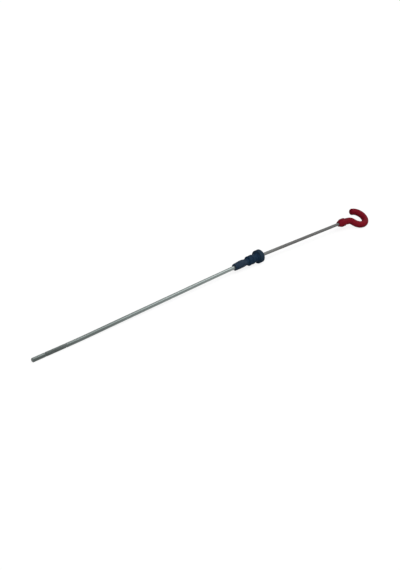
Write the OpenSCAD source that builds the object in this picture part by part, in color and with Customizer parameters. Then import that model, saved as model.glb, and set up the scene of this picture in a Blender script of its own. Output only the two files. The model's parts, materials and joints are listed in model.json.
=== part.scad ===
// Engine oil dipstick, lying as it comes to rest on a table. A straight steel
// measuring rod carries two level marks with a hatched stretch between them. A
// rubber stopper with two sealing rings and a round cap is moulded over the
// rod's upper end. A thinner steel wire leaves the cap at a slight bend and
// ends in the collar of a moulded hook handle.
//
// Millimetres. X runs up the stopper's axis towards the handle, Z is up. The
// origin is on the stopper's axis, midway between the two sealing rings.
// The rod's tip, the cap's rim and the hook's lower arm touch the table.

/* [Measuring rod] */
// Diameter of the measuring rod
rod_d = 4.9; // [3.6:0.1:6.0]
// Reach of the rod from the cap's seating face down to the tip
rod_reach = 340; // [200:5:600]
// Bevel round the tip's square-cut end
tip_bevel = 0.4; // [0.2:0.1:0.8]

/* [Level marks] */
// Distance from the tip to the low level mark
low_mark = 16; // [10:1:40]
// Distance from the low mark to the full mark
mark_span = 25; // [15:1:60]
// Width of each mark's groove
mark_w = 1.4; // [0.8:0.1:2.4]
// Depth of each mark's groove
mark_depth = 0.45; // [0.2:0.05:0.8]
// Depth by which the stretch between the marks is relieved for its hatching
hatch_relief = 0.12; // [0.05:0.01:0.18]

/* [Stopper sleeve] */
// Length of the stopper from its lower mouth up to the seating face
sleeve_l = 41.8; // [36:0.2:60]
// Outer diameter of the sleeve at its lower mouth
mouth_d = 9.0; // [7.8:0.1:9.6]
// Outer diameter of the sleeve at its bulge
bulge_d = 10.3; // [9.2:0.1:10.8]
// Distance from the seating face down to the bulge
bulge_at = 28.5; // [26:0.5:32]
// Outer diameter of the waist above the bulge
waist_d = 8.9; // [7.8:0.1:9.6]
// Distance from the seating face down to the waist
waist_at = 20.4; // [19:0.2:23]

/* [Sealing rings] */
// Number of sealing rings
ring_count = 2; // [1:1:2]
// Diameter over the sealing rings
ring_d = 13.1; // [12.2:0.1:13.6]
// Width of each ring
ring_w = 3.0; // [2.4:0.1:3.6]
// Rounding of each ring's edges
ring_round = 0.9; // [0.4:0.1:1.1]
// Distance from the seating face down to the middle of the upper ring
ring_at = 9.7; // [7:0.1:10]
// Spacing of the rings, middle to middle
ring_pitch = 6.1; // [5.5:0.1:7]
// Diameter of the neck between the rings and below the cap
neck_d = 11.1; // [10.2:0.1:11.6]

/* [Cap] */
// Diameter of the cap
cap_d = 18.0; // [15:0.2:22]
// Height of the cap's side above the seating face
cap_h = 6.4; // [4:0.2:8]
// Height of the low dome on top of the cap
dome_h = 1.8; // [1:0.1:2.6]
// Rounding of the cap's lower edge
cap_round = 0.7; // [0.4:0.1:1.2]
// Diameter of the fillet where the neck meets the seating face
fillet_d = 13.2; // [12.6:0.1:14]
// Height of that fillet
fillet_h = 1.2; // [0.6:0.1:2]

/* [Wire] */
// Diameter of the wire between the cap and the handle
wire_d = 4.3; // [3:0.1:4.6]
// Length of the wire from its bend inside the cap to the handle's collar
wire_l = 163; // [80:1:300]
// Distance from the seating face up to the bend
bend_at = 3; // [1.5:0.5:4]
// Sideways bend of the wire against the measuring rod
bend_side = 3.0; // [0:0.5:8]
// Downward bend of the wire against the measuring rod
bend_drop = 0.4; // [0:0.1:1]

/* [Handle collar] */
// Diameter of the collar
collar_d = 12.1; // [10.6:0.1:13]
// Length of the collar
collar_l = 12.2; // [10:0.2:16]
// Diameter of the collar's nose where the wire enters
nose_d = 6.4; // [5.6:0.1:8]
// Length of the conical nose
nose_l = 4.4; // [1:0.2:6]
// Rounding of the collar's shoulder
shoulder_round = 0.9; // [0.5:0.1:1.8]
// Depth to which the wire is seated in the collar
wire_seat = 9; // [6:0.5:9.5]

/* [Hook] */
// Thickness of the hook's round strand
strand_d = 9.7; // [7:0.1:10.4]
// Length of the stem from the collar's shoulder to the elbow
stem_l = 9.3; // [6:0.1:16]
// Slant of the stem against the wire
stem_slant = 8.6; // [4:0.1:12]
// Radius of the elbow's centre line
elbow_r = 6.6; // [5.6:0.1:9]
// Angle between the wire and the strand below the elbow
arm_turn = 73; // [50:1:85]
// Radius of the loop's centre line
loop_r = 13.2; // [12:0.1:18]
// Angle through which the loop turns
loop_turn = 243; // [190:1:250]
// Rounding of the hook's blunt free end
end_round = 2.8; // [1:0.1:3.2]

/* [Fits] */
// Radial clearance of the rod and the wire in their seats
seat_gap = 0.05; // [0.02:0.01:0.1]
// Gap between the rod's end and the wire's end inside the stopper
butt_gap = 0.2; // [0.1:0.05:0.5]

/* [Hidden] */
$fn = 96;

// Overshoot of a cut past the surface that it opens
past = 1;
// Steps in each curved stretch of the sleeve's outline
sleeve_steps = 8;
// Length by which each part of the hook's strand runs into the next
lap = 0.15;
// Thickening of each part of the strand over the one that runs into it
lap_step = 0.03;

// Middle of the sealing rings below the seating face, which is the origin
seal_mid = ring_at + ring_pitch * (ring_count - 1) / 2;

// Pitch of the stopper's axis: the tip and the cap's rim lie on the table
rest_pitch = atan((cap_d / 2 - rod_d / 2) / (rod_reach + cap_round));
table_z = (seal_mid + cap_round) * sin(rest_pitch) - cap_d / 2 * cos(rest_pitch);

// Rise of the wire for each millimetre of its length
wire_rise = sin(rest_pitch) * cos(bend_drop) * cos(bend_side)
          - cos(rest_pitch) * sin(bend_drop);
collar_z = (seal_mid + bend_at) * sin(rest_pitch) + wire_l * wire_rise;

// Hook's centre line in its own plane: X along the wire, Y towards the free end
strand_r = strand_d / 2;
stem_r = strand_r - 2 * lap_step;
elbow_strand_r = strand_r - lap_step;
stem_end = [collar_l + stem_l * cos(stem_slant), -stem_l * sin(stem_slant)];
elbow_mid = stem_end - elbow_r * [sin(stem_slant), cos(stem_slant)];
loop_mid = elbow_mid + (elbow_r + loop_r) * [sin(arm_turn), cos(arm_turn)];
loop_from = 270 - arm_turn;
lap_turn = atan(lap / elbow_r);

// Roll of the hook about the wire at which the loop's lower arm meets the table
plane_rise = (collar_z + loop_mid.x * wire_rise - strand_r - table_z) / (loop_r - loop_mid.y);
side_rise = sin(rest_pitch) * sin(bend_side);
up_rise = sin(rest_pitch) * sin(bend_drop) * cos(bend_side) + cos(rest_pitch) * cos(bend_drop);
hook_roll = asin(plane_rise / norm([side_rise, up_rise])) - atan2(side_rise, up_rise);

// Places a piece that is drawn along the stopper's axis, X = 0 at the seating face
module on_stick() {
    rotate([0, -rest_pitch, 0]) translate([seal_mid, 0, 0]) children();
}

// Places a piece that is drawn along the wire, X = 0 at the bend
module on_wire() {
    on_stick() translate([bend_at, 0, 0]) rotate([0, bend_drop, -bend_side]) children();
}

// Places a piece that is drawn in the hook's plane, X = 0 at the collar's nose
module on_hook() {
    on_wire() translate([wire_l, 0, 0]) rotate([hook_roll, 0, 0]) children();
}

// Turns a piece that is drawn upwards so that it runs along X
module along_x() {
    rotate([0, 90, 0]) children();
}

// Rod along X with a bevel round its lower end
module bevelled_rod(d, l, bevel) {
    along_x() {
        cylinder(h = bevel, d1 = d - 2 * bevel, d2 = d);
        translate([0, 0, bevel]) cylinder(h = l - bevel, d = d);
    }
}

// Ring that cuts a groove round a rod along X
module groove_cut(d, w, depth) {
    along_x() difference() {
        cylinder(h = w, d = d + 2 * past);
        translate([0, 0, -past]) cylinder(h = w + 2 * past, d = d - 2 * depth);
    }
}

module lower_rod() {
    color("#8d9391") on_stick() translate([-rod_reach, 0, 0]) difference() {
        bevelled_rod(rod_d, rod_reach + bend_at, tip_bevel);
        for (mark = [low_mark, low_mark + mark_span])
            translate([mark - mark_w / 2, 0, 0]) groove_cut(rod_d, mark_w, mark_depth);
        translate([low_mark, 0, 0]) groove_cut(rod_d, mark_span, hatch_relief);
    }
}

module upper_rod() {
    wire_from = butt_gap + wire_d / 2 * tan(norm([bend_side, bend_drop]));
    wire_to = wire_l + wire_seat - seat_gap;
    color("#7f7f7d") on_wire() translate([wire_from, 0, 0])
        bevelled_rod(wire_d, wire_to - wire_from, tip_bevel);
}

// Half outline of the sleeve as [radius, height] points: it swells from the
// mouth to the bulge and draws in again to the waist
function swell(from, to, t) = from + (to - from) * sin(90 * t);
function draw_in(from, to, t) = from + (to - from) * (1 - cos(180 * t)) / 2;
sleeve_outline = concat(
    [[0, -sleeve_l]],
    [for (i = [0:sleeve_steps]) let (t = i / sleeve_steps)
        [swell(mouth_d, bulge_d, t) / 2, -sleeve_l + (sleeve_l - bulge_at) * t]],
    [for (i = [1:sleeve_steps]) let (t = i / sleeve_steps)
        [draw_in(bulge_d, waist_d, t) / 2, -bulge_at + (bulge_at - waist_at) * t]],
    [[0, -waist_at]]);

// Half outline of one sealing ring with rounded edges
module ring_outline() {
    square([ring_d / 2 - ring_round, ring_w]);
    translate([0, ring_round]) square([ring_d / 2, ring_w - 2 * ring_round]);
    for (z = [ring_round, ring_w - ring_round])
        translate([ring_d / 2 - ring_round, z]) circle(ring_round);
}

// Half outline of the cap: flat seating face, rounded lower edge, low dome
module cap_outline() {
    cap_r = cap_d / 2;
    dome_r = (pow(cap_r, 2) + pow(dome_h, 2)) / (2 * dome_h);
    square([cap_r - cap_round, cap_round]);
    translate([cap_r - cap_round, cap_round]) circle(cap_round);
    translate([0, cap_round]) square([cap_r, cap_h - cap_round]);
    intersection() {
        translate([0, cap_h + dome_h - dome_r]) circle(dome_r, $fn = 2 * $fn);
        square([cap_r, cap_h + dome_h]);
    }
}

module tube_plug() {
    color("#1d2938") on_stick() difference() {
        along_x() rotate_extrude() {
            polygon(sleeve_outline);
            translate([0, -waist_at]) square([waist_d / 2, waist_at]);
            translate([0, -ring_at - ring_pitch * (ring_count - 1)])
                square([neck_d / 2, ring_at + ring_pitch * (ring_count - 1)]);
            for (i = [0:ring_count - 1])
                translate([0, -ring_at - ring_w / 2 - ring_pitch * i]) ring_outline();
            polygon([[0, -fillet_h], [neck_d / 2, -fillet_h], [fillet_d / 2, 0], [0, 0]]);
            cap_outline();
        }
        translate([-sleeve_l - past, 0, 0]) along_x()
            cylinder(h = sleeve_l + past + bend_at, r = rod_d / 2 + seat_gap);
        translate([bend_at, 0, 0]) rotate([0, bend_drop, -bend_side])
            translate([-past, 0, 0]) along_x()
                cylinder(h = cap_h + dome_h + 2 * past, r = wire_d / 2 + seat_gap);
    }
}

// Collar of the handle, drawn along X from its nose
module collar() {
    along_x() rotate_extrude() {
        polygon([[0, 0], [nose_d / 2, 0], [collar_d / 2, nose_l], [0, nose_l]]);
        translate([0, nose_l]) square([collar_d / 2, collar_l - shoulder_round - nose_l]);
        square([collar_d / 2 - shoulder_round, collar_l]);
        translate([collar_d / 2 - shoulder_round, collar_l - shoulder_round])
            circle(shoulder_round);
    }
}

// Part of the hook's round strand that follows an arc round a middle point
module strand_arc(mid, r, from, turn, thickness_r) {
    translate(mid) rotate([0, 0, from]) rotate_extrude(angle = turn)
        translate([r, 0]) circle(thickness_r);
}

// Stem that grows out of the collar and runs a little into the elbow
module stem() {
    root = shoulder_round + past;
    translate([collar_l, 0, 0]) rotate([0, 0, -stem_slant]) translate([-root, 0, 0])
        along_x() cylinder(h = root + stem_l + lap, r = stem_r);
}

// Blunt free end with a rounded edge, drawn upwards from just inside the loop
module strand_end() {
    rotate_extrude() {
        square([elbow_strand_r, 2 * lap]);
        square([elbow_strand_r - end_round, end_round + lap]);
        translate([0, lap]) intersection() {
            translate([elbow_strand_r - end_round, 0]) circle(end_round);
            square([elbow_strand_r, end_round]);
        }
    }
}

module handle() {
    color("#7a1522") on_hook() difference() {
        union() {
            collar();
            stem();
            strand_arc(elbow_mid, elbow_r, 90 - arm_turn - lap_turn,
                arm_turn - stem_slant + lap_turn, elbow_strand_r);
            strand_arc(loop_mid, loop_r, loop_from, loop_turn, strand_r);
            translate(loop_mid) rotate([0, 0, loop_from + loop_turn])
                translate([loop_r, -lap, 0]) rotate([-90, 0, 0]) strand_end();
        }
        translate([-past, 0, 0]) along_x()
            cylinder(h = wire_seat + past, r = wire_d / 2 + seat_gap);
    }
}

lower_rod();
upper_rod();
tube_plug();
handle();
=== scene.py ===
import json
import math
import bpy
import bmesh
from mathutils import Matrix, Vector


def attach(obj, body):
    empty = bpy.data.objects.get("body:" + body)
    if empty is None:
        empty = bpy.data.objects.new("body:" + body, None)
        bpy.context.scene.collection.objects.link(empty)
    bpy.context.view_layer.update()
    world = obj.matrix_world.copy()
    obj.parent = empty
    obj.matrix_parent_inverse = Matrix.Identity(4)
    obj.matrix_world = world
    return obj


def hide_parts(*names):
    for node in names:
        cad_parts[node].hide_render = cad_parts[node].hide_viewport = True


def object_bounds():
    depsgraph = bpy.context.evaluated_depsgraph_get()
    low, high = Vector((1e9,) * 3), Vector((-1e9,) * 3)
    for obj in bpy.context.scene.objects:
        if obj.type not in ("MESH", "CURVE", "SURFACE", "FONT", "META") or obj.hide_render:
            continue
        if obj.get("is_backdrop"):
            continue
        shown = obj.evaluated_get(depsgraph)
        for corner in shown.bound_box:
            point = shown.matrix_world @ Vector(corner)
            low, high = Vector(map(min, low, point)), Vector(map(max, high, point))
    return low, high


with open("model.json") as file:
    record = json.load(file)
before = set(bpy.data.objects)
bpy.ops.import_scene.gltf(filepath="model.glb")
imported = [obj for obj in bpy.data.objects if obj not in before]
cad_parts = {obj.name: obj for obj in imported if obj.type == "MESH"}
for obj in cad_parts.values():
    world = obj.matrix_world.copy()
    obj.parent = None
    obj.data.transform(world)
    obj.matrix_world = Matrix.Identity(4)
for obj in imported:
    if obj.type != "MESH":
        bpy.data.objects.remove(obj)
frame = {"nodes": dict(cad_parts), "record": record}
frameLow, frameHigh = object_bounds()
cadNodes = frame["nodes"]
mounts = {mount["name"]: mount for mount in frame["record"]["mounts"]}
mm = 0.001

# How the dipstick lies, the stopper's axis from its seating face and the wire from its bend
stance = {
    "bendAt": 3.0 * mm,       # from the seating face up to the bend
    "bendSide": 3.0,          # degrees, sideways
    "bendDrop": 0.4,          # degrees, downwards
    "wireLength": 163 * mm,   # from the bend to the handle's nose
    "hookRoll": 25.7159,      # degrees, the hook's plane about the wire
}

seatingFace = mounts["seating_face"]
stickAxis = -Vector(seatingFace["axis"]).normalized()
sealMid = Vector(seatingFace["pos_m"]).dot(stickAxis)

onStick = Matrix.Rotation(-math.asin(stickAxis.z), 4, "Y") @ Matrix.Translation((sealMid, 0, 0))
onWire = (onStick @ Matrix.Translation((stance["bendAt"], 0, 0))
          @ Matrix.Rotation(-math.radians(stance["bendSide"]), 4, "Z")
          @ Matrix.Rotation(math.radians(stance["bendDrop"]), 4, "Y"))
onHook = (onWire @ Matrix.Translation((stance["wireLength"], 0, 0))
          @ Matrix.Rotation(math.radians(stance["hookRoll"]), 4, "X"))
print("frame loaded, box", [round(v, 4) for v in frameLow], [round(v, 4) for v in frameHigh])


# Node helpers for materials and geometry trees

def addNode(tree, kind, inputs=None, **settings):
    node = tree.nodes.new(kind)
    for key, value in settings.items():
        setattr(node, key, value)
    for key, value in (inputs or {}).items():
        if isinstance(value, bpy.types.NodeSocket):
            tree.links.new(value, node.inputs[key])
        else:
            node.inputs[key].default_value = value
    return node


def maths(tree, operation, *values):
    return addNode(tree, "ShaderNodeMath", dict(enumerate(values)), operation=operation).outputs[0]


def product(tree, first, second):
    return maths(tree, "MULTIPLY", first, second)


def total(tree, first, second):
    return maths(tree, "ADD", first, second)


# A vector's X, Y and Z, and its distance from the X axis
def aboutAxis(tree, vector):
    x, y, z = addNode(tree, "ShaderNodeSeparateXYZ", {"Vector": vector}).outputs
    squares = total(tree, maths(tree, "POWER", y, 2.0), maths(tree, "POWER", z, 2.0))
    return x, y, z, maths(tree, "SQRT", squares)


def noise(tree, vector, scale, detail, roughness):
    return addNode(tree, "ShaderNodeTexNoise", {
        "Vector": vector, "Scale": scale, "Detail": detail, "Roughness": roughness}).outputs["Fac"]


def spread(tree, value, low, high, toLow, toHigh):
    return addNode(tree, "ShaderNodeMapRange", {
        "Value": value, "From Min": low, "From Max": high,
        "To Min": toLow, "To Max": toHigh}).outputs["Result"]


# From the first colour to the second as the value rises between the two levels
def ramp(tree, value, levels, first, second):
    node = addNode(tree, "ShaderNodeValToRGB", {"Fac": value})
    for element, level, colour in zip(node.color_ramp.elements, levels, (first, second)):
        element.position = level
        element.color = (*colour, 1)
    return node.outputs["Color"]


# Layers a plain colour over one from a node, by a share that is a node's output too
def layColour(tree, share, under, colour):
    node = addNode(tree, "ShaderNodeMix", data_type="RGBA")
    # the node has a pair of inputs for each data type, and 6 and 7 are the colours'
    factor, first, second = node.inputs[0], node.inputs[6], node.inputs[7]
    tree.links.new(share, factor)
    tree.links.new(under, first)
    second.default_value = (*colour, 1)
    return node.outputs[2]


def bump(tree, height, strength, distance):
    return addNode(tree, "ShaderNodeBump", {
        "Height": height, "Strength": strength, "Distance": distance}).outputs["Normal"]


def startMaterial(name, **constants):
    material = bpy.data.materials.new(name)
    material.use_nodes = True
    tree = material.node_tree
    surface = tree.nodes["Principled BSDF"]
    for key, value in constants.items():
        surface.inputs[key].default_value = value
    return material, tree, surface


def joinSurface(material, tree, surface, colour, rough, relief):
    tree.links.new(colour, surface.inputs["Base Color"])
    tree.links.new(rough, surface.inputs["Roughness"])
    tree.links.new(relief, surface.inputs["Normal"])
    return material


# Object coordinates turned into a piece's own, with X along its axis
def alongPiece(tree, placement):
    back = placement.inverted()
    return addNode(tree, "ShaderNodeMapping", {
        "Vector": addNode(tree, "ShaderNodeTexCoord").outputs["Object"],
        "Location": back.to_translation(), "Rotation": back.to_euler()}).outputs["Vector"]


def stretched(tree, vector, scale):
    return addNode(tree, "ShaderNodeMapping", {"Vector": vector, "Scale": scale}).outputs["Vector"]


noiseSpan = (0.3, 0.7)      # levels that most of a noise lies between


# Drawn steel of the measuring rod, with lengthwise die lines, an oil-dark lower end, a matt hatched
# stretch and a painted highlight along its top. Distances are from the tip, in metres

rodFinish = {
    "metallic": 0.85,
    "bright": (0.205, 0.235, 0.228),
    "dull": (0.155, 0.181, 0.175),
    "dullToBright": (0.32, 0.68),   # levels of the die lines' noise
    # colour of the cleaner steel, also used for the painted highlight along the rod's top
    "cleaned": (0.33, 0.372, 0.362),
    "cleanShare": 0.5,
    "cleanFrom": 0.12,      # where the steel starts to get cleaner
    "cleanTo": 0.30,
    "topHighlightFrom": 0.76,      # height round the rod, 1 at its top, above which a painted highlight lightens the steel
    "topHighlightTo": 0.97,
    "topHighlightShare": 0.28,
    "topHighlightNear": 1.8,       # multiplies that share near the tip
    "topHighlightFar": 0.7,        # and further up
    "topHighlightTurn": (0.045, 0.085),
    "oiled": (0.078, 0.092, 0.088),
    "oiledShare": 0.9,
    "oiledFrom": 0.034,     # where the dark end fades into a thin film
    "oiledTo": 0.068,
    "filmShare": 0.5,
    "filmFrom": 0.088,      # where the film fades out
    "filmTo": 0.125,
    "valleyShare": 0.7,     # oil held between the crests of the hatching
    "valleyFull": 0.12 * mm,    # depth under the crests that is full of it
    "valleyEmpty": 0.03 * mm,   # and depth that has none
    "lines": {"scale": 5200, "detail": 4, "roughness": 0.6},    # left by the drawing die
    "lineStretch": 0.012,
    "lineBump": 0.35,
    "lineDepth": 0.03 * mm,
    "patches": {"scale": 45, "detail": 3, "roughness": 0.55},
    "patchShift": 0.008,    # how far the patches move the edges of oil and clean steel
    "roughness": (0.30, 0.44),
    "hatchRoughness": 0.62,
}


def makeRodSteel(hatchFrom, hatchTo, crestRadius):
    look = rodFinish
    material, tree, surface = startMaterial("rodSteel", Metallic=look["metallic"])
    # each point's place on the straight rod, with X from its tip
    place = addNode(tree, "ShaderNodeAttribute", attribute_name="straightPlace").outputs["Vector"]
    along, _, up, radius = aboutAxis(tree, place)
    lines = noise(tree, stretched(tree, place, (look["lineStretch"], 1, 1)), **look["lines"])
    patches = noise(tree, place, **look["patches"])
    uneven = total(tree, along, spread(tree, patches, *noiseSpan, -look["patchShift"],
                                       look["patchShift"]))
    # painted highlight: the rod's upper side, picked by height round its axis
    topHighlight = spread(tree, maths(tree, "DIVIDE", up, crestRadius),
                   look["topHighlightFrom"], look["topHighlightTo"], 0.0, 1.0)

    film = spread(tree, uneven, look["filmFrom"], look["filmTo"], look["filmShare"], 0.0)
    thick = spread(tree, uneven, look["oiledFrom"], look["oiledTo"], 1.0, 0.0)
    # the painted highlight also takes the oil off the rod's top
    oil = product(tree, maths(tree, "MAXIMUM", film, thick), maths(tree, "SUBTRACT", 1.0, topHighlight))
    hatched = product(tree, maths(tree, "GREATER_THAN", along, hatchFrom),
                      maths(tree, "LESS_THAN", along, hatchTo))
    valley = product(tree, hatched, spread(tree, radius, crestRadius - look["valleyFull"],
                                           crestRadius - look["valleyEmpty"], 1.0, 0.0))
    # strength of the painted highlight on the top, stronger near the tip
    topHighlightShare = product(tree, product(tree, topHighlight, look["topHighlightShare"]),
                         spread(tree, along, *look["topHighlightTurn"], look["topHighlightNear"],
                                look["topHighlightFar"]))
    # cleaner steel towards the stopper, plus the painted highlight along the top
    clean = total(tree, topHighlightShare, spread(tree, uneven, look["cleanFrom"], look["cleanTo"],
                                           0.0, look["cleanShare"]))

    steel = ramp(tree, lines, look["dullToBright"], look["dull"], look["bright"])
    steel = layColour(tree, clean, steel, look["cleaned"])
    steel = layColour(tree, product(tree, oil, look["oiledShare"]), steel, look["oiled"])
    steel = layColour(tree, product(tree, valley, look["valleyShare"]), steel, look["oiled"])
    rougher = look["hatchRoughness"] - look["roughness"][1]
    rough = total(tree, spread(tree, lines, *noiseSpan, *look["roughness"]),
                  product(tree, hatched, rougher))
    relief = bump(tree, lines, look["lineBump"], look["lineDepth"])
    return joinSurface(material, tree, surface, steel, rough, relief)


# Dull phosphated wire

wireFinish = {
    "metallic": 0.5,
    "light": (0.164, 0.164, 0.160),
    "dark": (0.104, 0.104, 0.102),
    "darkToLight": (0.35, 0.65),
    "cleaned": (0.225, 0.235, 0.226),
    "cleanShare": 0.7,
    "cleanFrom": 0.012,      # metres from the bend over which the cleaner steel dulls
    "cleanTo": 0.050,
    "lines": {"scale": 4200, "detail": 4, "roughness": 0.6},
    "lineStretch": 0.02,
    "lineShare": 0.6,        # of the lines in the pattern
    "grain": {"scale": 6500, "detail": 2, "roughness": 0.5},    # of the phosphate
    "grainShare": 0.4,
    "bump": 0.4,
    "depth": 0.04 * mm,
    "roughness": (0.55, 0.70),
}


def makeWireSteel():
    look = wireFinish
    material, tree, surface = startMaterial("wireSteel", Metallic=look["metallic"])
    place = alongPiece(tree, onWire)
    along = addNode(tree, "ShaderNodeSeparateXYZ", {"Vector": place}).outputs["X"]
    lines = noise(tree, stretched(tree, place, (look["lineStretch"], 1, 1)), **look["lines"])
    grain = noise(tree, place, **look["grain"])
    mixed = total(tree, product(tree, lines, look["lineShare"]),
                  product(tree, grain, look["grainShare"]))
    clean = spread(tree, along, look["cleanFrom"], look["cleanTo"], look["cleanShare"], 0.0)
    steel = ramp(tree, mixed, look["darkToLight"], look["dark"], look["light"])
    steel = layColour(tree, clean, steel, look["cleaned"])
    rough = spread(tree, mixed, *noiseSpan, *look["roughness"])
    relief = bump(tree, mixed, look["bump"], look["depth"])
    return joinSurface(material, tree, surface, steel, rough, relief)


# Blue-black moulded rubber with a faint bloom, rubbed ring crests and a dusty sleeve

rubberFinish = {
    "ior": 1.1,
    "deep": (0.007, 0.024, 0.052),
    "bloom": (0.019, 0.040, 0.072),
    "deepToBloom": (0.35, 0.7),
    "rubbed": (0.030, 0.044, 0.056),
    "rubbedShare": 0.7,
    "rubbedDepth": 0.15 * mm,    # under the crests
    "rubbedGrain": (0.4, 0.6),   # levels of the grain between untouched and rubbed
    "dusted": (0.046, 0.060, 0.080),
    "dustedShare": 0.35,
    "dustedFrom": 0.019,         # metres down from the seating face where the sleeve gets dusty
    "dustedTo": 0.024,
    "dustCloud": (0.3, 0.6),     # levels of the cloud between thin and thick dust
    "dustUneven": (0.4, 1.2),
    "cloud": {"scale": 190, "detail": 4, "roughness": 0.55},
    "grain": {"scale": 4200, "detail": 3, "roughness": 0.6},    # of the mould's spark-eroded skin
    "grainBump": 0.6,
    "grainDepth": 0.07 * mm,
    "roughness": (0.44, 0.60),
}


def makePlugRubber(crestRadius):
    look = rubberFinish
    material, tree, surface = startMaterial("plugRubber", IOR=look["ior"])
    place = alongPiece(tree, onStick)
    along, _, _, radius = aboutAxis(tree, place)
    cloud = noise(tree, place, **look["cloud"])
    grain = noise(tree, place, **look["grain"])
    rubbed = product(tree, spread(tree, radius, crestRadius - look["rubbedDepth"], crestRadius,
                                  0.0, look["rubbedShare"]),
                     spread(tree, grain, *look["rubbedGrain"], 0.0, 1.0))
    dusted = product(tree, spread(tree, cloud, *look["dustCloud"], *look["dustUneven"]),
                     spread(tree, product(tree, along, -1.0), look["dustedFrom"], look["dustedTo"],
                            0.0, look["dustedShare"]))
    colour = ramp(tree, cloud, look["deepToBloom"], look["deep"], look["bloom"])
    colour = layColour(tree, rubbed, colour, look["rubbed"])
    colour = layColour(tree, dusted, colour, look["dusted"])
    rough = spread(tree, cloud, *noiseSpan, *look["roughness"])
    relief = bump(tree, grain, look["grainBump"], look["grainDepth"])
    return joinSurface(material, tree, surface, colour, rough, relief)


# Dark red moulded plastic, satin, with a fine moulded grain

plasticFinish = {
    "ior": 1.1,
    "wine": (0.145, 0.004, 0.014),
    "red": (0.206, 0.007, 0.015),
    "wineToRed": (0.36, 0.64),
    "flow": {"scale": 70, "detail": 3, "roughness": 0.5},   # slow change along the mould's flow
    "flowStretch": 0.6,
    "flowShare": 0.7,        # of that change in the pattern
    "swirl": {"scale": 320, "detail": 4, "roughness": 0.6},
    "swirlShare": 0.3,
    "scuffed": (0.300, 0.042, 0.044),
    "scuffs": {"scale": 1300, "detail": 5, "roughness": 0.65},
    "scuffStretch": 0.25,
    "scuffShare": 0.45,
    "scuffWhere": (0.45, 0.65),   # levels of the flow between no scuffs and all of them
    "scuffFrom": 0.60,       # level of the scuff pattern over which the skin is scuffed
    "scuffTo": 0.72,
    "grain": {"scale": 2600, "detail": 2, "roughness": 0.5},    # of the mould's skin
    "grainBump": 0.5,
    "grainDepth": 0.08 * mm,
    "roughness": (0.36, 0.48),
}


def makeHandlePlastic():
    look = plasticFinish
    material, tree, surface = startMaterial("handlePlastic", IOR=look["ior"])
    place = alongPiece(tree, onHook)
    flow = noise(tree, stretched(tree, place, (look["flowStretch"], 1, 1)), **look["flow"])
    grain = noise(tree, place, **look["grain"])
    swirl = noise(tree, place, **look["swirl"])
    scuffs = noise(tree, stretched(tree, place, (1, 1, look["scuffStretch"])), **look["scuffs"])
    mixed = total(tree, product(tree, flow, look["flowShare"]),
                  product(tree, swirl, look["swirlShare"]))
    scuffed = product(tree, spread(tree, flow, *look["scuffWhere"], 0.0, look["scuffShare"]),
                      spread(tree, scuffs, look["scuffFrom"], look["scuffTo"], 0.0, 1.0))
    colour = ramp(tree, mixed, look["wineToRed"], look["wine"], look["red"])
    colour = layColour(tree, scuffed, colour, look["scuffed"])
    rough = spread(tree, swirl, *noiseSpan, *look["roughness"])
    relief = bump(tree, grain, look["grainBump"], look["grainDepth"])
    return joinSurface(material, tree, surface, colour, rough, relief)


# Outlines and turned meshes

# Corners as (distance along the axis, radius, rounding) to an outline's (distance, radius)
def rounded(corners, steps=6):
    points = []
    for i, (x, r, rounding) in enumerate(corners):
        here = Vector((x, r))
        if rounding <= 0:
            points.append(here)
            continue
        before = Vector(corners[i - 1][:2])
        after = Vector(corners[(i + 1) % len(corners)][:2])
        inward, outward = (before - here).normalized(), (after - here).normalized()
        half = inward.angle(outward) / 2
        reach = rounding / math.tan(half)
        middle = here + (inward + outward).normalized() * rounding / math.sin(half)
        start, end = here + inward * reach - middle, here + outward * reach - middle
        turn = start.angle_signed(end)
        for step in range(steps + 1):
            swing = Matrix.Rotation(-turn * step / steps, 2)
            points.append(middle + swing @ start)
    return points


def ringAngles(count, seams, seamWidth):
    angles = [2 * math.pi * i / count for i in range(count)]
    for seam in seams:
        angles += [seam - seamWidth / 2, seam + seamWidth / 2]
    return sorted(angle % (2 * math.pi) for angle in angles)


def meshFromRings(name, rings, closedLoop):
    made = bmesh.new()
    rows = [[made.verts.new(point) for point in ring] for ring in rings]
    count = len(rows[0])
    pairs = list(zip(rows, rows[1:]))
    if closedLoop:
        pairs.append((rows[-1], rows[0]))
    for lower, upper in pairs:
        for i in range(count):
            made.faces.new((lower[i], lower[(i + 1) % count], upper[(i + 1) % count], upper[i]))
    if not closedLoop:
        made.faces.new(rows[0])
        made.faces.new(rows[-1])
    bmesh.ops.recalc_face_normals(made, faces=made.faces)
    mesh = bpy.data.meshes.new(name)
    made.to_mesh(mesh)
    made.free()
    return mesh


def finishPiece(name, mesh, placement, node, material, sharpFrom=35):
    mesh.transform(placement)
    mesh.update()
    mesh.shade_smooth()
    mesh.set_sharp_from_angle(angle=math.radians(sharpFrom))
    if material.name not in mesh.materials:
        mesh.materials.append(material)
    piece = bpy.data.objects.new(name, mesh)
    bpy.context.scene.collection.objects.link(piece)
    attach(piece, "root")
    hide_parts(node)
    print(name, "made,", len(mesh.polygons), "faces")


# Geometry trees

def startTree(name, sizes):
    tree = bpy.data.node_groups.new(name, "GeometryNodeTree")
    tree.interface.new_socket(name="Geometry", in_out="INPUT", socket_type="NodeSocketGeometry")
    for label, kind in sizes.items():
        tree.interface.new_socket(name=label, in_out="INPUT", socket_type="NodeSocket" + kind)
    tree.interface.new_socket(name="Geometry", in_out="OUTPUT", socket_type="NodeSocketGeometry")
    return tree, addNode(tree, "NodeGroupInput").outputs


def endTree(tree, geometry, given):
    smooth = addNode(tree, "GeometryNodeSetShadeSmooth", {"Geometry": geometry})
    real = addNode(tree, "GeometryNodeRealizeInstances", {"Geometry": smooth.outputs[0]})
    painted = addNode(tree, "GeometryNodeSetMaterial", {
        "Geometry": real.outputs[0], "Material": given["Material"]})
    addNode(tree, "NodeGroupOutput", {"Geometry": painted.outputs[0]})


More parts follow.
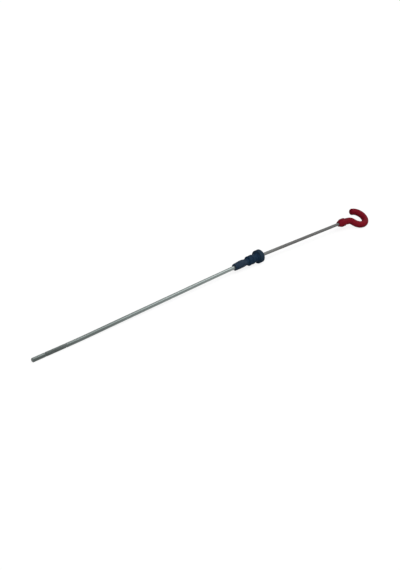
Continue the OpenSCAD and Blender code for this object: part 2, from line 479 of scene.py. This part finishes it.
def meshFromTree(name, start, tree, values):
    holder = bpy.data.objects.new(name + "Start", start)
    bpy.context.scene.collection.objects.link(holder)
    modifier = holder.modifiers.new(tree.name, "NODES")
    modifier.node_group = tree
    for item in tree.interface.items_tree:
        if item.in_out == "INPUT" and item.name in values:
            modifier[item.identifier] = values[item.name]
    ready = holder.evaluated_get(bpy.context.evaluated_depsgraph_get())
    mesh = bpy.data.meshes.new_from_object(ready)
    holder.modifiers.clear()
    bpy.data.objects.remove(holder)
    return mesh


# Measuring rod, drawn from its tip

rod = {
    "diameter": 4.9 * mm,
    "reach": 340 * mm,        # from the tip to the stopper's seating face
    "tipWear": 0.3 * mm,      # worn off the end
    "tipBevel": 0.6 * mm,
    "tipRounding": 0.15 * mm,
    "lowMark": 16 * mm,       # from the tip to the low level mark
    "markSpan": 25 * mm,      # from the low mark to the full mark
    "markWidth": 1.4 * mm,
    "markDepth": 0.45 * mm,
    "markRounding": 0.14 * mm,
    "relief": 0.12 * mm,      # depth of the hatched stretch under its crests
    "hatchAround": 26,        # hatching crests round the rod
    "crestPitch": 0.62 * mm,  # their spacing along it
    "crestSink": 0.02 * mm,   # how far their feet lie inside the relieved stretch
    "crestHeight": 0.13 * mm,
    "crestTop": 0.22,         # width of a crest's top as a share of its foot
    "crestWorn": 0.72,        # height of the most worn crest as a share of the full one
    "wearSeed": 7,
    # slight set that the rod has from use: distance from the tip, shift sideways and upwards
    "bow": ((0, 0.20 * mm, 0), (60 * mm, -0.68 * mm, -0.46 * mm),
            (112 * mm, -0.44 * mm, -0.27 * mm), (250 * mm, 0, 0)),
    "bowSoftness": 12 * mm,
    "ringSpacing": 8 * mm,
    "endRing": 0.4,           # the end face's inner ring as a share of the rod's radius
    "segments": 96,
    "sharpFrom": 30,          # degrees
}


# The rod's shift from its straight line, as a mean over a short stretch so that no kink shows
def bowAt(x, samples=9):
    shiftSum = Vector((0, 0, 0))
    for i in range(samples):
        near = x + rod["bowSoftness"] * (2 * i / (samples - 1) - 1)
        for (start, *shift), (end, *nextShift) in zip(rod["bow"], rod["bow"][1:]):
            if near < end or end == rod["bow"][-1][0]:
                share = min(1, (near - start) / (end - start))
                shiftSum += Vector((0, *shift)).lerp(Vector((0, *nextShift)), share)
                break
    return shiftSum / samples


def makeHatchTree():
    tree, given = startTree("levelHatching", {
        "Rows": "Int", "Around": "Int", "Pitch": "Float", "Radius": "Float",
        "Height": "Float", "Wear Seed": "Int", "Material": "Material"})
    grid = addNode(tree, "GeometryNodeMeshGrid", {
        "Size X": 1.0, "Size Y": 1.0, "Vertices X": given["Rows"], "Vertices Y": given["Around"]})
    index = addNode(tree, "GeometryNodeInputIndex").outputs[0]
    row = maths(tree, "FLOOR", maths(tree, "DIVIDE", index, given["Around"]))
    column = maths(tree, "SUBTRACT", index, product(tree, row, given["Around"]))
    # every other row is turned by half a crest
    halfStep = product(tree, maths(tree, "MODULO", row, 2.0), 0.5)
    turns = maths(tree, "DIVIDE", total(tree, column, halfStep), given["Around"])
    angle = product(tree, turns, 2 * math.pi)
    cosine, sine = maths(tree, "COSINE", angle), maths(tree, "SINE", angle)
    outward = addNode(tree, "ShaderNodeCombineXYZ", {"X": 0.0, "Y": cosine, "Z": sine}).outputs[0]
    place = addNode(tree, "ShaderNodeCombineXYZ", {
        "X": product(tree, row, given["Pitch"]),
        "Y": product(tree, cosine, given["Radius"]),
        "Z": product(tree, sine, given["Radius"])}).outputs[0]
    wrapped = addNode(tree, "GeometryNodeSetPosition", {
        "Geometry": grid.outputs["Mesh"], "Position": place})
    crest = addNode(tree, "GeometryNodeMeshCone", {
        "Vertices": 4, "Side Segments": 1, "Radius Top": rod["crestTop"], "Radius Bottom": 1.0,
        "Depth": 1.0})
    upright = addNode(tree, "FunctionNodeAlignRotationToVector", {"Vector": outward}, axis="Z")
    turned = addNode(tree, "FunctionNodeAlignRotationToVector", {
        "Rotation": upright.outputs[0], "Vector": (1.0, 0.0, 0.0)}, axis="X", pivot_axis="Z")
    # a crest's foot is a diamond two rows long and one crest wide, so that neighbours meet
    girth = maths(tree, "DIVIDE", product(tree, given["Radius"], 2 * math.pi), given["Around"])
    worn = addNode(tree, "FunctionNodeRandomValue", {
        2: rod["crestWorn"], 3: 1.0, "Seed": given["Wear Seed"]}, data_type="FLOAT").outputs[1]
    size = addNode(tree, "ShaderNodeCombineXYZ", {
        "X": given["Pitch"], "Y": product(tree, girth, 0.5),
        "Z": product(tree, given["Height"], worn)}).outputs[0]
    crests = addNode(tree, "GeometryNodeInstanceOnPoints", {
        "Points": wrapped.outputs[0], "Instance": crest.outputs["Mesh"],
        "Rotation": turned.outputs[0], "Scale": size})
    endTree(tree, crests.outputs[0], given)
    return tree


def makeRod():
    radius = rod["diameter"] / 2
    relieved, marked = radius - rod["relief"], radius - rod["markDepth"]
    tip, bevel, soft, lip = rod["tipWear"], rod["tipBevel"], rod["tipRounding"], rod["markRounding"]
    low, full = rod["lowMark"], rod["lowMark"] + rod["markSpan"]
    half = rod["markWidth"] / 2
    hatchFrom, hatchTo = low + half, full - half
    corners = [(tip, 0, 0), (tip, radius - bevel, soft), (tip + bevel, radius, soft),
               (low - half, radius, lip), (low - half, marked, lip),
               (hatchFrom, marked, lip), (hatchFrom, relieved, lip / 2),
               (hatchTo, relieved, lip / 2), (hatchTo, marked, lip),
               (full + half, marked, lip), (full + half, radius, lip)]
    end = rod["reach"] + stance["bendAt"]
    spans = int((end - full) / rod["ringSpacing"])
    corners += [(full + (end - full) * i / spans, radius, 0) for i in range(1, spans + 1)]
    outline = [Vector((tip, rod["endRing"] * radius))] + rounded(corners)[1:]
    angles = ringAngles(rod["segments"], [], 0)
    rings = [[(x, r * math.cos(a), r * math.sin(a)) for a in angles] for x, r in outline]
    mesh = meshFromRings("measuringRod", rings, False)

    steel = makeRodSteel(hatchFrom, hatchTo, radius)
    rows = int((hatchTo - hatchFrom) / rod["crestPitch"])
    crests = meshFromTree("hatching", bpy.data.meshes.new("hatchStart"), makeHatchTree(), {
        "Rows": rows, "Around": rod["hatchAround"], "Pitch": rod["crestPitch"],
        "Radius": relieved - rod["crestSink"], "Height": rod["crestHeight"],
        "Wear Seed": rod["wearSeed"], "Material": steel})
    margin = ((hatchTo - hatchFrom) - (rows - 1) * rod["crestPitch"]) / 2
    crests.transform(Matrix.Translation((hatchFrom + margin, 0, 0)))
    made = bmesh.new()
    made.from_mesh(mesh)
    made.from_mesh(crests)
    made.to_mesh(mesh)
    made.free()
    straight = mesh.attributes.new("straightPlace", "FLOAT_VECTOR", "POINT")
    for vert, kept in zip(mesh.vertices, straight.data):
        kept.vector = vert.co
        vert.co += bowAt(vert.co.x)
    fromTip = onStick @ Matrix.Translation((-rod["reach"], 0, 0))
    finishPiece("measuringRod", mesh, fromTip, "lower_rod", steel,
                sharpFrom=rod["sharpFrom"])


# Stopper, drawn from its seating face

plug = {
    "sleeveLength": 42.2 * mm,
    "sleeveLift": 0.28 * mm,   # how far the soft sleeve arches up from the rod's line
    "sleeveSide": 0.10 * mm,   # and away from the hook's opening
    "mouthDiameter": 9.0 * mm,
    "mouthRounding": 0.5 * mm,
    "bulgeDiameter": 10.3 * mm,
    "bulgeAt": 28.5 * mm,      # distances down from the seating face
    "waistDiameter": 8.9 * mm,
    "waistAt": 20.4 * mm,
    "ringDiameter": 13.1 * mm,
    "ringWidth": 3.0 * mm,
    "ringRounding": 0.9 * mm,
    "ringsAt": (15.8 * mm, 9.7 * mm),
    "neckDiameter": 11.1 * mm,
    "grooveRounding": 0.35 * mm,
    "capDiameter": 18.0 * mm,
    "capHeight": 6.4 * mm,
    "capRounding": 0.7 * mm,
    "rimRounding": 0.5 * mm,
    "domeHeight": 1.8 * mm,
    "filletDiameter": 13.2 * mm,
    "filletHeight": 1.2 * mm,
    "seatGap": 0.05 * mm,
    "wireDiameter": 4.3 * mm,
    "seamHeight": 0.06 * mm,   # parting line left by the two halves of the mould
    "seamWidth": 0.05,         # radians
    "segments": 96,
}


def sleeveCurve(steps=10):
    mouth, bulge = plug["mouthDiameter"] / 2, plug["bulgeDiameter"] / 2
    waist = plug["waistDiameter"] / 2
    points = []
    for i in range(1, steps + 1):
        t = i / steps
        x = -plug["sleeveLength"] + (plug["sleeveLength"] - plug["bulgeAt"]) * t
        points.append((x, mouth + (bulge - mouth) * math.sin(math.pi / 2 * t), 0))
    for i in range(1, steps + 1):
        t = i / steps
        x = -plug["bulgeAt"] + (plug["bulgeAt"] - plug["waistAt"]) * t
        points.append((x, bulge + (waist - bulge) * (1 - math.cos(math.pi * t)) / 2, 0))
    return points


def domeCurve(rim, wireHole, steps=8):
    top = plug["capHeight"] + plug["domeHeight"]
    domeRadius = (rim ** 2 + plug["domeHeight"] ** 2) / (2 * plug["domeHeight"])
    points = []
    for i in range(1, steps + 1):
        r = rim + (wireHole - rim) * i / steps
        points.append((top - domeRadius + math.sqrt(domeRadius ** 2 - r ** 2), r, 0))
    return points


# 1 where the sleeve arches most and 0 at its mouth and at the lower ring
def archAt(x):
    mouth, ring = -plug["sleeveLength"], -plug["ringsAt"][0]
    return math.sin(math.pi * (x - mouth) / (ring - mouth)) ** 2 if mouth < x < ring else 0.0


def makePlug():
    gap = plug["seatGap"]
    rodHole, wireHole = rod["diameter"] / 2 + gap, plug["wireDiameter"] / 2 + gap
    ring, neck, cap = plug["ringDiameter"] / 2, plug["neckDiameter"] / 2, plug["capDiameter"] / 2
    edge, groove = plug["ringRounding"], plug["grooveRounding"]
    corners = [(-plug["sleeveLength"], rodHole, plug["mouthRounding"] / 2),
               (-plug["sleeveLength"], plug["mouthDiameter"] / 2, plug["mouthRounding"])]
    corners += sleeveCurve()
    foot = plug["waistDiameter"] / 2
    for at in plug["ringsAt"]:
        start, end = -at - plug["ringWidth"] / 2, -at + plug["ringWidth"] / 2
        corners += [(start, foot, groove), (start, ring, edge),
                    (end, ring, edge), (end, neck, groove)]
        foot = neck
    corners += [(-plug["filletHeight"], neck, groove * 2),
                (0, plug["filletDiameter"] / 2, groove),
                (0, cap, plug["capRounding"]),
                (plug["capHeight"], cap, plug["rimRounding"])]
    corners += domeCurve(cap, wireHole)
    corners += [(stance["bendAt"], wireHole, 0), (stance["bendAt"], rodHole, 0)]
    outline = rounded(corners)

    seams = (0, math.pi)
    angles = ringAngles(plug["segments"], seams, plug["seamWidth"])
    onSeam = [any(math.isclose(a, seam, abs_tol=plug["seamWidth"] / 10) for seam in seams)
              for a in angles]
    side = math.tan(math.radians(stance["bendSide"]))
    drop = math.tan(math.radians(stance["bendDrop"]))
    rings = []
    for x, r in outline:
        # the seam's crest has the full radius and the skin beside it lies a little under that
        skin = plug["seamHeight"] * min(1, max(0, (r - rodHole) / plug["mouthRounding"]))
        # the wire's hole follows the bent wire, and its shift fades out towards the rim
        past = max(0, x - stance["bendAt"]) * max(0, 1 - (r - wireHole) / (cap - wireHole))
        arch = archAt(x)
        shiftY = arch * plug["sleeveSide"] - past * side
        shiftZ = arch * plug["sleeveLift"] - past * drop
        radii = [r if proud else r - skin for proud in onSeam]
        rings.append([(x, radius * math.cos(a) + shiftY, radius * math.sin(a) + shiftZ)
                      for a, radius in zip(angles, radii)])
    mesh = meshFromRings("stopper", rings, True)
    finishPiece("stopper", mesh, onStick, "tube_plug", makePlugRubber(ring))


# Hook handle, drawn in its own plane from the collar's nose

hook = {
    "collarDiameter": 12.1 * mm,
    "collarLength": 12.2 * mm,
    "noseDiameter": 7.6 * mm,
    "noseAt": -0.6 * mm,     # where the nose starts along the wire
    "noseTo": 5.6 * mm,      # and where its cone reaches the collar's full width
    "noseRounding": 0.35 * mm,
    "shoulderRounding": 0.9 * mm,
    "strandDiameter": 9.7 * mm,
    "stemLength": 9.3 * mm,
    "stemSlant": 8.6,        # degrees against the wire
    "elbowRadius": 6.6 * mm,
    "armTurn": 73,           # degrees between the wire and the strand below the elbow
    "loopRadius": 13.2 * mm,
    "loopTurn": 243,         # degrees
    "endRounding": 2.8 * mm,
    "endSteps": 8,
    "wireSeat": 9 * mm,      # depth of the blind bore that the wire is moulded into
    "step": 1.0 * mm,        # spacing of the rings that the strand is swept from
    "seamShare": 0.011,      # height of the parting line as a share of the strand's radius
    "seamReach": 0.01,       # a section's points this near its plane are on the parting line
    "around": 96,
}


def direction(angle):
    return Vector((math.cos(angle), math.sin(angle)))


def arcPoints(middle, radius, fromAngle, turn, step):
    count = max(2, round(radius * abs(turn) / step))
    return [middle + radius * direction(fromAngle + turn * i / count) for i in range(count + 1)]


# Points along the hook's centre line with the strand's radius at each
def hookPath():
    slant, arm = math.radians(hook["stemSlant"]), math.radians(hook["armTurn"])
    strand, collar = hook["strandDiameter"] / 2, hook["collarDiameter"] / 2
    nose, shoulder, step = hook["noseAt"], hook["shoulderRounding"], hook["step"]
    outline = rounded([(nose, 0, 0), (nose, hook["noseDiameter"] / 2, hook["noseRounding"]),
                       (hook["noseTo"], collar, shoulder / 2),
                       (hook["collarLength"], collar, shoulder),
                       (hook["collarLength"], strand, 0)])[1:]

    stemStart = Vector((hook["collarLength"], 0))
    stemEnd = stemStart + hook["stemLength"] * direction(-slant)
    stemSteps = round(hook["stemLength"] / step)
    stem = [stemStart.lerp(stemEnd, i / stemSteps) for i in range(1, stemSteps)]
    quarter = math.pi / 2
    elbowMid = stemEnd - hook["elbowRadius"] * direction(quarter - slant)
    elbow = arcPoints(elbowMid, hook["elbowRadius"], quarter - slant, slant - arm, step / 2)
    loopMid = elbowMid + (hook["elbowRadius"] + hook["loopRadius"]) * direction(quarter - arm)
    loopFrom, loopTurn = 3 * quarter - arm, math.radians(hook["loopTurn"])
    loop = arcPoints(loopMid, hook["loopRadius"], loopFrom, loopTurn, step)

    path = [(Vector((x, 0)), r) for x, r in outline]
    path += [(point, strand) for point in stem + elbow + loop[1:]]
    ahead = direction(loopFrom + loopTurn + quarter)
    for i in range(1, hook["endSteps"] + 1):
        turn = quarter * i / hook["endSteps"]
        path.append((loop[-1] + ahead * hook["endRounding"] * math.sin(turn),
                     strand - hook["endRounding"] * (1 - math.cos(turn))))
    return path


def makeHookTree():
    tree, given = startTree("hookSweep", {
        "Points Around": "Int", "Seam Share": "Float", "Material": "Material"})
    path = addNode(tree, "GeometryNodeMeshToCurve", {"Mesh": given["Geometry"]})
    radius = addNode(tree, "GeometryNodeInputNamedAttribute", {"Name": "strandRadius"},
                     data_type="FLOAT")
    level = addNode(tree, "GeometryNodeSetCurveNormal", {"Curve": path.outputs[0]})
    level.mode = "Z_UP"
    section = addNode(tree, "GeometryNodeCurvePrimitiveCircle", {
        "Resolution": given["Points Around"],
        "Radius": maths(tree, "SUBTRACT", 1.0, given["Seam Share"])}, mode="RADIUS")
    place = addNode(tree, "GeometryNodeInputPosition").outputs[0]
    across = addNode(tree, "ShaderNodeSeparateXYZ", {"Vector": place}).outputs["Y"]
    onSeam = maths(tree, "LESS_THAN", maths(tree, "ABSOLUTE", across), hook["seamReach"])
    proud = addNode(tree, "ShaderNodeVectorMath", {
        0: place, "Scale": product(tree, onSeam, given["Seam Share"])}, operation="SCALE")
    seamed = addNode(tree, "GeometryNodeSetPosition", {
        "Geometry": section.outputs[0], "Offset": proud.outputs[0]})
    swept = addNode(tree, "GeometryNodeCurveToMesh", {
        "Curve": level.outputs[0], "Profile Curve": seamed.outputs[0],
        "Scale": radius.outputs["Attribute"], "Fill Caps": True})
    endTree(tree, swept.outputs[0], given)
    return tree


def makeHook():
    path = hookPath()
    line = bpy.data.meshes.new("hookLine")
    line.from_pydata([(*point, 0) for point, _ in path],
                     [(i, i + 1) for i in range(len(path) - 1)], [])
    radii = line.attributes.new("strandRadius", "FLOAT", "POINT")
    radii.data.foreach_set("value", [r for _, r in path])
    plastic = makeHandlePlastic()
    mesh = meshFromTree("hook", line, makeHookTree(), {
        "Points Around": hook["around"], "Seam Share": hook["seamShare"], "Material": plastic})

    # the blind bore is let into the nose's flat face
    made = bmesh.new()
    made.from_mesh(mesh)
    nose = min(made.faces, key=lambda face: face.calc_center_median().x)
    bore = plug["wireDiameter"] / 2 + plug["seatGap"]
    rim = max((vert.co - nose.calc_center_median()).length for vert in nose.verts)
    bmesh.ops.inset_individual(made, faces=[nose], thickness=rim - bore)
    bottom = bmesh.ops.extrude_discrete_faces(made, faces=[nose])["faces"][0]
    depth = hook["wireSeat"] - hook["noseAt"]
    bmesh.ops.translate(made, verts=bottom.verts, vec=(depth, 0, 0))
    bmesh.ops.recalc_face_normals(made, faces=made.faces)
    made.to_mesh(mesh)
    made.free()
    finishPiece("hookHandle", mesh, onHook, "handle", plastic)


# Camera at the photograph's viewing angle

shot = {
    "height": 570,            # pixels of the photograph, 400 wide
    "sensor": 36,             # millimetres along that height
    "focalPixels": 711.2,
    "nearest": 0.01,          # metres
    "farthest": 100,
    "azimuth": -43.578,       # degrees
    "elevation": 27.440,
    "distance": 924.90 * mm,
    "aside": -64.95 * mm,     # how far the picture's middle lies from the origin
    "up": -32.140 * mm,
}


def makeCamera():
    turn, rise = math.radians(shot["azimuth"]), math.radians(shot["elevation"])
    back = Vector((math.sin(turn) * math.cos(rise), -math.cos(turn) * math.cos(rise),
                   math.sin(rise)))
    right = Vector((math.cos(turn), math.sin(turn), 0))
    up = back.cross(right)
    data = bpy.data.cameras.new("camera")
    data.sensor_width = shot["sensor"]
    data.lens = shot["focalPixels"] / shot["height"] * shot["sensor"]
    data.clip_start, data.clip_end = shot["nearest"], shot["farthest"]
    camera = bpy.data.objects.new("camera", data)
    place = right * shot["aside"] + up * shot["up"] + back * shot["distance"]
    facing = Matrix((right, up, back)).transposed().to_4x4()
    camera.matrix_world = Matrix.Translation(place) @ facing
    bpy.context.scene.collection.objects.link(camera)
    bpy.context.scene.camera = camera


# Pale floor and soft studio light

studio = {
    "floorSize": 60,                    # metres
    "floorColour": (0.28, 0.28, 0.28),  # for the light that it throws back on the object
    "seenColour": (0.22, 0.22, 0.22),   # for the camera and reflections, with the shadow on it
    "seenWhite": 0.85,                  # plain white that they see over that
    "world": 0.18,                      # light of the surround on the object
    "seenWorld": 0.6,                   # brightness that the camera and reflections see in it
    "keyStrength": 1.1,
    "keySpread": 50,                    # degrees across the soft key light
    "keyFrom": (0.61, -0.20, 0.77),
    "fillStrength": 2.2,
    "fillSpread": 100,
    "fillFrom": (-0.62, -0.60, 0.50),
}


# 1 for what the camera, reflections and glass see, 0 for light that falls on the object
def seenDirectly(tree):
    path = addNode(tree, "ShaderNodeLightPath").outputs
    return maths(tree, "MAXIMUM", path["Is Camera Ray"],
                 maths(tree, "MAXIMUM", path["Is Glossy Ray"], path["Is Transmission Ray"]))


def makeFloor(height):
    half = studio["floorSize"] / 2
    mesh = bpy.data.meshes.new("floor")
    mesh.from_pydata([(-half, -half, height), (half, -half, height), (half, half, height),
                      (-half, half, height)], [], [(0, 1, 2, 3)])
    material = bpy.data.materials.new("paleFloor")
    material.use_nodes = True
    tree = material.node_tree
    tree.nodes.clear()
    seen = seenDirectly(tree)
    pale = addNode(tree, "ShaderNodeBsdfDiffuse", {"Color": (*studio["floorColour"], 1)})
    lit = addNode(tree, "ShaderNodeBsdfDiffuse", {"Color": (*studio["seenColour"], 1)})
    white = addNode(tree, "ShaderNodeEmission", {
        "Color": (1, 1, 1, 1), "Strength": studio["seenWhite"]})
    shown = addNode(tree, "ShaderNodeAddShader", {0: lit.outputs[0], 1: white.outputs[0]})
    both = addNode(tree, "ShaderNodeMixShader", {0: seen, 1: pale.outputs[0], 2: shown.outputs[0]})
    addNode(tree, "ShaderNodeOutputMaterial", {"Surface": both.outputs[0]})
    mesh.materials.append(material)
    floor = bpy.data.objects.new("floor", mesh)
    bpy.context.scene.collection.objects.link(floor)
    floor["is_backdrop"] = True


def makeSun(name, comesFrom, strength, across):
    data = bpy.data.lights.new(name, "SUN")
    data.energy = strength
    data.angle = math.radians(across)
    lamp = bpy.data.objects.new(name, data)
    lamp.rotation_euler = Vector(comesFrom).to_track_quat("Z", "Y").to_euler()
    bpy.context.scene.collection.objects.link(lamp)


def makeLight():
    world = bpy.data.worlds.new("studio")
    world.use_nodes = True
    tree = world.node_tree
    tree.nodes["Background"].inputs["Color"].default_value = (1, 1, 1, 1)
    strength = spread(tree, seenDirectly(tree), 0.0, 1.0, studio["world"], studio["seenWorld"])
    tree.links.new(strength, tree.nodes["Background"].inputs["Strength"])
    bpy.context.scene.world = world
    makeSun("keyLight", studio["keyFrom"], studio["keyStrength"], studio["keySpread"])
    makeSun("fillLight", studio["fillFrom"], studio["fillStrength"], studio["fillSpread"])


makeRod()
makePlug()
makeHook()
wireSteel = makeWireSteel()
for slot in cadNodes["upper_rod"].material_slots:
    slot.material = wireSteel
print("wire steel on the solid wire")
makeCamera()
makeFloor(min(frameLow.z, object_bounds()[0].z))
makeLight()
bpy.context.scene.view_settings.view_transform = "Standard"
print("camera, floor and light in place")
